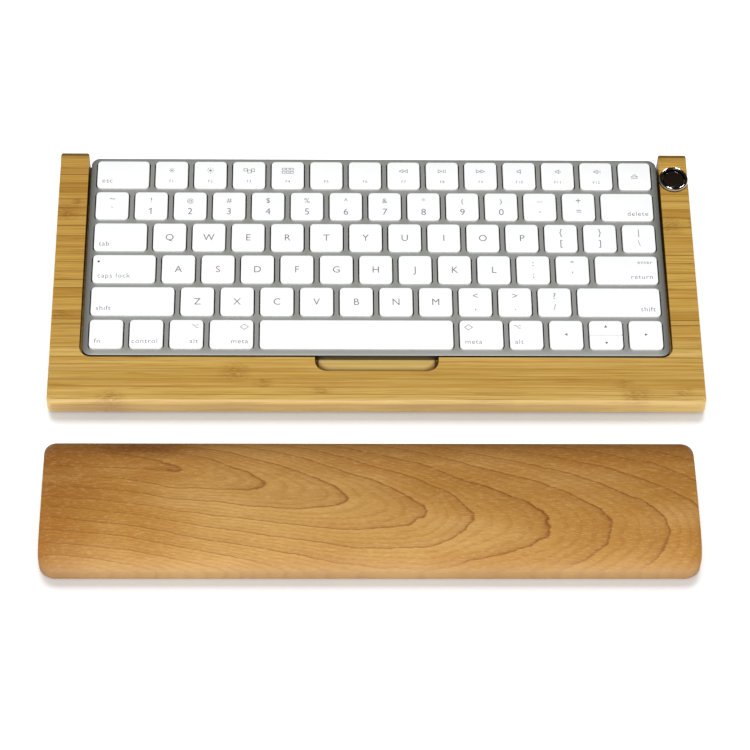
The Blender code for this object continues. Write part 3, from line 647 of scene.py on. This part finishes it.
def polished(name, colour, metallic, roughness, rim=0.0):
    """Polished metal or glass with faint wiping marks; a stud's ring is bright outside `rim`."""
    g = Graph(name, Metallic=metallic, Roughness=roughness, Specular_IOR_Level=0.15)
    marks = g.noise(g.place((2.0, 0.4, 0.4)), 1.0, 4.0, 0.7)
    shade = g.ramp(marks, (0.2, tuple(c * 0.9 for c in colour)), (0.8, colour))
    if rim:
        low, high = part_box("stud_ring")
        x, y, _ = g.split(g.place())
        reach = g.distance(g.minus(x, (low.x + high.x) / 2 / MM),
                           g.minus(y, (low.y + high.y) / 2 / MM))
        shade = g.mix(g.math("GREATER_THAN", reach, rim), shade, (0.55, 0.53, 0.5))
    g.colour(shade)
    g.rough(g.ramp(marks, (0.3, roughness * 0.7), (0.8, roughness * 1.6)))
    return g.material


# ---------------- keyboard

INK_PROUD = 0.012 * MM              # how far the print stands above the cap
STROKE_WIDTH = 0.26                 # in millimetres, as all coordinates of the drawn marks
MARK_HEIGHT = 2.4                   # from a function key's middle up to its mark
LAMP_RADIUS = 0.55
LAMP_INSET = (2.7, 3.9)             # from the caps lock key's left and back edges
OPENING_ASIDE = 0.62 * MM           # gap between a cap and its opening, at its sides
OPENING_AHEAD = 0.3 * MM            # and in front of it and behind it
CHARGING_SOCKET = (0.0, -6.4, 10.2, 4.4, 1.2)     # x, z, width, height and radius in millimetres
SWITCH_SLOT = (104.0, -5.6, 7.1, 2.8, 0.8)


def cap_mesh(width, depth, front, back):
    """A hollow cap whose top edge rounds over in four steps; front and back are corner radii."""
    def loop(inset):
        bends = [max(radius - inset * 0.8, SPLIT_RADIUS / 3) for radius in (front, back)]
        return rounded_loop(width - 2 * inset, depth - 2 * inset, bends[0], 6, (0, 0), bends[1])
    levels = [(loop(CAP_WALL), CAP_RISE - CAP_CROWN), (loop(CAP_WALL), -CAP_SKIRT),
              (loop(0), -CAP_SKIRT)]
    for angle in (0, 22.5, 45, 67.5, 90):
        turn = radians(angle)
        levels.append((loop(CAP_ROUND * (1 - cos(turn))), CAP_RISE - CAP_ROUND * (1 - sin(turn))))
    return ring_solid(levels)


def legend_mesh(pieces):
    """Joins the glyph meshes of one cap."""
    mesh = bmesh.new()
    for data in pieces:
        mesh.from_mesh(data)
        bpy.data.meshes.remove(data)
    return mesh


def glyph(text, size, x, y, align):
    """One legend as a thin solid, in the key plane of its cap."""
    curve = bpy.data.curves.new("glyph", "FONT")
    curve.body = text
    curve.size = size
    curve.align_x = align
    curve.align_y = "BOTTOM_BASELINE"
    curve.space_character = 1.12 if len(text) > 1 else 1.0
    curve.offset = -0.004 * size
    curve.extrude = INK_PROUD
    curve.resolution_u = 3
    holder = bpy.data.objects.new("glyph", curve)
    data = bpy.data.meshes.new_from_object(holder)
    bpy.data.objects.remove(holder)
    bpy.data.curves.remove(curve)
    data.transform(Matrix.Translation((x, y, CAP_RISE)))
    return data


def outline_solid(outline):
    """A flat mark from an outline, as thick as the glyphs."""
    mesh = ring_solid([(outline, CAP_RISE - INK_PROUD), (outline, CAP_RISE + INK_PROUD)])
    bmesh.ops.recalc_face_normals(mesh, faces=mesh.faces)
    data = bpy.data.meshes.new("mark")
    mesh.to_mesh(data)
    mesh.free()
    return data


def polygon(*points):
    return outline_solid([(x * MM, y * MM) for x, y in points])


def stroke(start, end, width=STROKE_WIDTH):
    """A straight line of the given width between two points, in millimetres."""
    (x0, y0), (x1, y1) = start, end
    length = ((x1 - x0) ** 2 + (y1 - y0) ** 2) ** 0.5
    dx, dy = (x1 - x0) / length * width / 2, (y1 - y0) / length * width / 2
    return polygon((x0 - dx - dy, y0 - dy + dx), (x0 - dx + dy, y0 - dy - dx),
                   (x1 + dx + dy, y1 + dy - dx), (x1 + dx - dy, y1 + dy + dx))


def wire(*points):
    """A closed outline drawn with strokes."""
    return [stroke(start, end) for start, end in zip(points, (*points[1:], points[0]))]


def triangle(x, y, reach, turn):
    """Corners of a triangle that points to a side: 0 is right, 90 is up."""
    return [(x + reach * cos(radians(turn + step)), y + reach * sin(radians(turn + step)))
            for step in (0, 125, 235)]


def dot(x, y, radius):
    """A round dot with twelve corners."""
    return outline_solid(arc((x * MM, y * MM), radius * MM, 0, 330, 11))


def sun(y, radius, rays):
    """A small ring of strokes with a dot in its middle."""
    marks = [dot(0, y, radius * 0.42)]
    for turn in range(0, 360, 45):
        c, s = cos(radians(turn)), sin(radians(turn))
        marks.append(stroke((c * rays * 0.62, y + s * rays * 0.62), (c * rays, y + s * rays), 0.2))
    return marks


def function_marks(name):
    """Plain marks above the numbers of the function row, in millimetres from the cap's middle."""
    y = MARK_HEIGHT
    if name == "f1":
        return sun(y, 1.0, 1.3)
    if name == "f2":
        return sun(y, 1.4, 1.8)
    if name == "f3":
        return [*wire((-2.6, y - 0.2), (-0.9, y - 0.2), (-0.9, y + 1.2), (-2.6, y + 1.2)),
                *wire((-0.7, y - 1.4), (1.0, y - 1.4), (1.0, y + 0.4), (-0.7, y + 0.4)),
                *wire((1.2, y - 0.6), (2.6, y - 0.6), (2.6, y + 1.1), (1.2, y + 1.1))]
    if name == "f4":
        return [mark for i in (-1, 0, 1) for j in (-1, 1)
                for mark in wire((2 * i - 0.7, y + j - 0.6), (2 * i + 0.7, y + j - 0.6),
                                 (2 * i + 0.7, y + j + 0.6), (2 * i - 0.7, y + j + 0.6))]
    if name == "f7":
        return [mark for x in (-0.9, 1.3) for mark in wire(*triangle(x, y, 1.15, 180))]
    if name == "f8":
        return [*wire(*triangle(-1.2, y, 1.15, 0)), stroke((0.7, y - 0.9), (0.7, y + 0.9)),
                stroke((1.6, y - 0.9), (1.6, y + 0.9))]
    if name == "f9":
        return [mark for x in (-1.3, 0.9) for mark in wire(*triangle(x, y, 1.15, 0))]
    if name in ("f10", "f11", "f12"):
        marks = wire((-0.9, y - 0.4), (-0.1, y - 0.4), (0.8, y - 1.1), (0.8, y + 1.1),
                     (-0.1, y + 0.4), (-0.9, y + 0.4))
        for wave in range(int(name[1:]) - 10):
            reach = 1.5 + 0.7 * wave
            marks.append(stroke((reach, y - 0.5 - 0.3 * wave), (reach, y + 0.5 + 0.3 * wave), 0.2))
        return marks
    if name == "eject":
        return [*wire((0.0, 0.8), (-1.6, -0.6), (1.6, -0.6)), stroke((-1.6, -1.5), (1.6, -1.5))]
    return []


def modifier_marks(name, width):
    """A stepped line for alt and a diamond for meta, above the word."""
    if name.startswith("alt"):
        side = 1 if name.endswith("left") else -1
        x = side * (width / MM / 2 - 3.8)
        return [stroke((x - 1.5, 4.9), (x - 0.6, 4.9)), stroke((x - 0.6, 4.9), (x + 0.6, 3.5)),
                stroke((x + 0.6, 3.5), (x + 1.5, 3.5)), stroke((x + 0.5, 4.9), (x + 1.5, 4.9))]
    if name.startswith("meta"):
        side = 1 if name.endswith("left") else -1
        x = side * (width / MM / 2 - 4.2)
        return wire((x - 1.9, 3.9), (x, 2.4), (x + 1.9, 3.9), (x, 5.4))
    return []


def cap_marks(name, width, depth, legends):
    """Everything printed on one cap."""
    marks = []
    edge = width / 2 - LEGEND_INSET
    for text, size, side, height in legends:
        align = ("LEFT", "CENTER", "RIGHT")[side + 1]
        marks.append(glyph(text, size, side * edge, height, align))
        if text == "1":             # the digit's flag
            marks.append(stroke((0.1, height / MM + 3.5), (-0.9, height / MM + 2.7), 0.4))
    arrows = {"arrow_left": (0, 180), "arrow_right": (0, 0), "arrow_up": (0.4, 90),
              "arrow_down": (-0.6, 270)}
    if name in arrows:
        height, turn = arrows[name]
        marks.append(polygon(*triangle(0, height, 0.95, turn)))
    return marks + function_marks(name) + modifier_marks(name, width)


def make_caps(cap_material, ink_material, lamp_material):
    """All caps with their print; the first cap of a node stands for that node."""
    replaced = set()
    for name, x, y, width, depth, legends in key_cells():
        node = GANG_OF.get(name, f"key_{name}")
        place = KEY_PLANE @ Matrix.Translation((x, y, 0))
        taken = () if node in replaced else (node,)
        replaced.add(node)
        front = SPLIT_RADIUS if name == "arrow_up" else CAP_RADIUS
        back = SPLIT_RADIUS if name == "arrow_down" else CAP_RADIUS
        add_piece(f"cap_{name}", cap_mesh(width, depth, front, back), cap_material, node, place,
                  40, taken)
        marks = cap_marks(name, width, depth, legends)
        if marks:
            add_piece(f"legend_{name}", legend_mesh(marks), ink_material, node, place, 0)
        if name == "caps_lock":
            lamp = dot(LAMP_INSET[0] - width / MM / 2, depth / MM / 2 - LAMP_INSET[1], LAMP_RADIUS)
            add_piece("caps_lock_lamp", legend_mesh([lamp]), lamp_material, node, place, 0)


def wedge_floor(above=0.0):
    """Height of the case's underside as a function of y, in the key plane."""
    return lambda y: above - CASE_FRONT_THICK - (y - CASE_FRONT) * tan(TILT)


def case_loop(inset):
    """Plan outline of the case, drawn in by an inset."""
    return rounded_loop(CASE_WIDTH - 2 * inset, CASE_DEPTH - 2 * inset, CASE_RADIUS - inset, 10,
                        (0.0, CASE_FRONT + CASE_DEPTH / 2))


def plate_openings(grow):
    """Outlines of the plate's openings, a little wider beside the caps than in front of them."""
    loops = []
    for name, x, y, width, depth, _ in key_cells():
        if name == "arrow_down":
            continue
        if name == "arrow_up":
            y, depth = 0.0, CAP_DEPTH
        loops.append(rounded_loop(width + 2 * (OPENING_ASIDE + grow), depth + 2 * (OPENING_AHEAD + grow),
                                  CAP_RADIUS + 0.35 * MM + grow, 6, (x, y)))
    return loops


def plate_mesh():
    """The top plate and the case wall: round upper edge, broken lower edge and openings' edges."""
    mesh = bmesh.new()
    upper_round = 0.4 * MM
    chamfer = 0.2 * MM
    lip = 0.12 * MM
    rings = [add_ring(mesh, case_loop(CASE_WALL), -PLATE_THICK),
             add_ring(mesh, case_loop(CASE_WALL), wedge_floor()),
             add_ring(mesh, case_loop(chamfer), wedge_floor()),
             add_ring(mesh, case_loop(0), wedge_floor(chamfer))]
    for angle in (0, 30, 60, 90):
        turn = radians(angle)
        rings.append(add_ring(mesh, case_loop(upper_round * (1 - cos(turn))),
                              upper_round * (sin(turn) - 1)))
    for lower, upper in zip(rings, rings[1:]):
        bridge(mesh, lower, upper)
    lower_holes = [add_ring(mesh, loop, -PLATE_THICK) for loop in plate_openings(0)]
    rim_holes = [add_ring(mesh, loop, -lip) for loop in plate_openings(0)]
    upper_holes = [add_ring(mesh, loop, 0.0) for loop in plate_openings(lip)]
    for below, rim, above in zip(lower_holes, rim_holes, upper_holes):
        bridge(mesh, below, rim)
        bridge(mesh, rim, above)
    fill_with_holes(mesh, rings[-1], upper_holes)
    fill_with_holes(mesh, rings[0], lower_holes)
    return mesh


def cut(piece, mesh, place):
    """Cuts a closed bmesh out of a piece, and applies the cut."""
    bmesh.ops.recalc_face_normals(mesh, faces=mesh.faces)
    data = bpy.data.meshes.new("cutter")
    mesh.to_mesh(data)
    mesh.free()
    data.transform(place)
    tool = bpy.data.objects.new("cutter", data)
    bpy.context.scene.collection.objects.link(tool)
    modifier = piece.modifiers.new("cut", "BOOLEAN")
    modifier.operation = "DIFFERENCE"
    modifier.solver = "EXACT"
    modifier.object = tool
    depsgraph = bpy.context.evaluated_depsgraph_get()
    result = bpy.data.meshes.new_from_object(piece.evaluated_get(depsgraph))
    piece.modifiers.clear()
    piece.data = result
    bpy.data.objects.remove(tool)


def make_case(metal):
    """The case's upper part, with the charging socket and the switch's slot cut into its back."""
    case = add_piece("case_plate", plate_mesh(), metal, "keyboard", KEY_PLANE, 30,
                     ("top_case",))
    upright = Matrix.Rotation(radians(90), 4, "X")
    through = 2 * CASE_WALL
    for sizes in (CHARGING_SOCKET, SWITCH_SLOT):
        x, z, width, height, radius = (size * MM for size in sizes)
        loop = rounded_loop(width, height, radius, 6)
        place = KEY_PLANE @ Matrix.Translation((x, CASE_FRONT + CASE_DEPTH, z)) @ upright
        cut(case, ring_solid([(loop, -through), (loop, through)]), place)


# ---------------- stud

STUD_RADIUS = 7.2 * MM
RING_RIM = 6.95                     # the ring is bright outside this radius, in millimetres
STUD_BORE = 5.5 * MM                # inner radius of the ring
STUD_FOOT = -0.7 * MM               # heights are from the tilted top face of the arm
STUD_SHOULDER = 0.49 * MM           # where the ring's straight sides end
STUD_RISE = 1.4 * MM
STUD_CHAMFER = 0.15 * MM
DOME_RADIUS = 5.2 * MM
DOME_EDGE = 0.4 * MM
DOME_RISE = 1.2 * MM                # from its edge to its top
TURNED_STEPS = 96


def make_stud(ring_metal, glass):
    """A ring with a round top, and a flat dome inside it."""
    low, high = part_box("stud_ring")
    centre = (low + high) / 2 - KEY_UP * (STUD_FOOT + STUD_RISE) / 2
    place = Matrix.Translation(centre) @ Matrix.Rotation(TILT, 4, "X")
    profile = [(STUD_BORE, STUD_FOOT), (STUD_RADIUS - STUD_CHAMFER, STUD_FOOT),
               (STUD_RADIUS, STUD_FOOT + STUD_CHAMFER), (STUD_RADIUS, STUD_SHOULDER)]
    for angle in range(15, 180, 15):
        turn = radians(angle)
        profile.append(((STUD_RADIUS + STUD_BORE) / 2 + (STUD_RADIUS - STUD_BORE) / 2 * cos(turn),
                        STUD_SHOULDER + (STUD_RISE - STUD_SHOULDER) * sin(turn)))
    profile.append((STUD_BORE, STUD_SHOULDER))
    add_piece("stud_ring_polished", turned_solid(profile, TURNED_STEPS), ring_metal, "tray", place,
              50, ("stud_ring",))
    dome = [(0, STUD_FOOT), (DOME_RADIUS, STUD_FOOT), (DOME_RADIUS, DOME_EDGE)]
    for angle in range(10, 90, 10):
        turn = radians(angle)
        dome.append((DOME_RADIUS * cos(turn), DOME_EDGE + DOME_RISE * sin(turn)))
    dome.append((0, DOME_EDGE + DOME_RISE))
    add_piece("stud_dome_glass", turned_solid(dome, TURNED_STEPS), glass, "tray", place,
              50, ("stud_dome",))


# ---------------- palm rest

PALM_FRONT_RADIUS = 8.0 * MM        # of its corners in plan
PALM_BACK_RADIUS = 5.5 * MM
PALM_LOWER_ROUND = 0.8 * MM
PALM_ROLL_START = 5.5 * MM          # height at which its sides begin to roll over
PALM_ROLL = (1.5 * MM, 34.0 * MM, 18.0 * MM)      # reach of the roll at the ends, front and back
PALM_ROLL_STEPS = 24


def make_palm_rest(wood):
    """A domed bar: a long roll towards the front, a shorter one at the back, nearly square ends."""
    low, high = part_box("palm_rest")
    width, depth, height = high - low

    def loop(side, front, back):
        centre = ((low.x + high.x) / 2, low.y + (depth + front - back) / 2)
        return rounded_loop(width - 2 * side, depth - front - back, PALM_FRONT_RADIUS - side / 2, 10,
                            centre, PALM_BACK_RADIUS - side / 2)

    levels = []
    for angle in range(0, 91, 15):
        inset = PALM_LOWER_ROUND * (1 - sin(radians(angle)))
        levels.append((loop(inset, inset, inset), PALM_LOWER_ROUND * (1 - cos(radians(angle)))))
    for step in range(PALM_ROLL_STEPS + 1):
        turn = radians(90 * step / PALM_ROLL_STEPS)
        levels.append((loop(*(reach * (1 - cos(turn)) for reach in PALM_ROLL)),
                       PALM_ROLL_START + (height - PALM_ROLL_START) * sin(turn)))
    add_piece("palm_rest_wood", ring_solid(levels), wood, "palm_rest", None, 60,
              ("palm_rest",))


# ---------------- CAD nodes that keep their shape

def dress(node, material):
    """Gives a CAD node its finished material."""
    data = frame["nodes"][node].data
    data.materials.clear()
    data.materials.append(material)


# ---------------- stage, light, camera

FLOOR_HALF = 6.0                    # in metres, as all places and sizes of the lights
FLOOR_GLOW = 0.12
SET_LIGHT = ((-0.15, -0.95, 1.45), (0, 0, 0), (1.0, 0.6), 24)     # place, target, size, power
FLOOR_LIGHT = ((-0.1, 2.1, 2.2), (0, -0.05, 0), (2.8, 2.2), 138)
GLINT_PLACES = (("left", (0.06, 0.96, 0.52)), ("right", (0.41, 0.98, 0.40)))
GLINT = ((0.148, 0.1, 0.015), (0.12, 0.5), 44)                    # target, size, power
CAMERA_PLACE = Vector((-30.9, -760.2, 1070.9)) * MM
CAMERA_TARGET = Vector((-0.7, -4.4, 0.0)) * MM
CAMERA_LEAN = 1.98                  # in degrees
CAMERA_LENS = 132.4                 # with a sensor 36 mm wide


def make_stage():
    """A plain white floor that glows a little."""
    mesh = bmesh.new()
    bmesh.ops.create_grid(mesh, x_segments=2, y_segments=2, size=FLOOR_HALF)
    data = bpy.data.meshes.new("floor")
    mesh.to_mesh(data)
    mesh.free()
    floor = bpy.data.objects.new("floor", data)
    bpy.context.scene.collection.objects.link(floor)
    g = Graph("floor_white", Roughness=0.9, Specular_IOR_Level=0.0)
    soft = g.noise(g.place((0.002, 0.002, 0.002)), 1.0, 1.0)
    g.colour(g.ramp(soft, (0.3, (0.93, 0.93, 0.93)), (0.7, (0.95, 0.95, 0.95))))
    glow = g.shader.inputs
    glow["Emission Color"].default_value = (1.0, 1.0, 1.0, 1.0)
    glow["Emission Strength"].default_value = FLOOR_GLOW
    data.materials.append(g.material)
    return floor


def area_light(name, place, target, size, power):
    light = bpy.data.lights.new(name, "AREA")
    light.shape = "RECTANGLE"
    light.size, light.size_y = size
    light.energy = power
    lamp = bpy.data.objects.new(name, light)
    lamp.location = place
    lamp.rotation_euler = (Vector(target) - Vector(place)).to_track_quat("-Z", "Y").to_euler()
    bpy.context.scene.collection.objects.link(lamp)
    return lamp


def receivers(name, pieces):
    """A collection of the only pieces that a light falls on."""
    group = bpy.data.collections.new(name)
    for piece in pieces:
        group.objects.link(piece)
    return group


def make_light(floor):
    """A soft light from the front for the set, one from behind for the floor and its shadows, two
    small lamps for the stud's ring, and a grey world that is brighter in front."""
    world = bpy.data.worlds.new("studio")
    world.use_nodes = True
    tree = world.node_tree
    place = tree.nodes.new("ShaderNodeTexCoord")
    split = tree.nodes.new("ShaderNodeSeparateXYZ")
    ramp = tree.nodes.new("ShaderNodeValToRGB")
    half = tree.nodes.new("ShaderNodeMath")
    half.operation = "MULTIPLY_ADD"
    half.inputs[1].default_value = -0.5
    half.inputs[2].default_value = 0.5
    tree.links.new(place.outputs["Generated"], split.inputs[0])
    tree.links.new(split.outputs[1], half.inputs[0])
    tree.links.new(half.outputs[0], ramp.inputs[0])
    tree.links.new(ramp.outputs[0], tree.nodes["Background"].inputs[0])
    ramp.color_ramp.elements[0].color = (0.22, 0.22, 0.22, 1.0)     # behind the set
    ramp.color_ramp.elements[1].color = (0.88, 0.88, 0.88, 1.0)     # in front of it
    bpy.context.scene.world = world
    pieces = [piece for piece in bpy.context.scene.objects
              if piece.type == "MESH" and piece is not floor]
    front = area_light("front_light", *SET_LIGHT)
    front.light_linking.receiver_collection = receivers("set_pieces", pieces)
    back = area_light("floor_light", *FLOOR_LIGHT)
    back.light_linking.receiver_collection = receivers("floor_pieces", [floor])
    # these two stand behind the set and glint on the round top of the stud's ring
    stud = receivers("stud_pieces", [piece for piece in pieces if piece.name == "stud_ring_polished"])
    for name, place in GLINT_PLACES:
        glint = area_light(f"glint_{name}", place, *GLINT)
        glint.light_linking.receiver_collection = stud
    bpy.context.scene.view_settings.view_transform = "Standard"


def make_camera():
    """The camera looks down at the set from the front, a little from the left, and leans a bit."""
    data = bpy.data.cameras.new("camera")
    data.sensor_width = 36.0
    data.lens = CAMERA_LENS
    camera = bpy.data.objects.new("camera", data)
    aim = (CAMERA_TARGET - CAMERA_PLACE).to_track_quat("-Z", "Y")
    camera.matrix_world = (Matrix.Translation(CAMERA_PLACE) @ aim.to_matrix().to_4x4()
                           @ Matrix.Rotation(radians(CAMERA_LEAN), 4, "Z"))
    bpy.context.scene.collection.objects.link(camera)
    bpy.context.scene.camera = camera


def main():
    dress("bamboo_tray", bamboo())
    make_palm_rest(palm_wood())
    make_case(anodised())
    make_caps(cap_plastic(), ink("legend_grey", (0.15, 0.15, 0.16)),
              ink("lamp_dark", (0.006, 0.006, 0.006)))
    make_stud(polished("ring_chrome", (0.035, 0.032, 0.03), 1.0, 0.05, RING_RIM),
              polished("dome_black", (0.008, 0.003, 0.001), 0.0, 0.03))
    dress("bottom_cover", moulded("cover_plastic", (0.5, 0.51, 0.52), (0.58, 0.59, 0.6), 0.5))
    dress("power_switch", moulded("switch_plastic", (0.30, 0.31, 0.32), (0.36, 0.37, 0.38), 0.45))
    dress("dome_sheet", moulded("dark_silicone", (0.008, 0.008, 0.009), (0.014, 0.014, 0.015), 0.6))
    dress("switch_plate", polished("rolled_steel", (0.5, 0.5, 0.5), 1.0, 0.3))
    dress("battery", moulded("battery_foil", (0.1, 0.1, 0.11), (0.16, 0.16, 0.17), 0.35))
    dress("logic_board", moulded("circuit_board", (0.02, 0.11, 0.05), (0.04, 0.17, 0.09), 0.4))
    dress("anti_slip_mat", moulded("mat_rubber", (0.018, 0.018, 0.018), (0.04, 0.04, 0.04), 0.75, 2.0,
                                   0.1 * MM))
    make_light(make_stage())
    make_camera()


main()
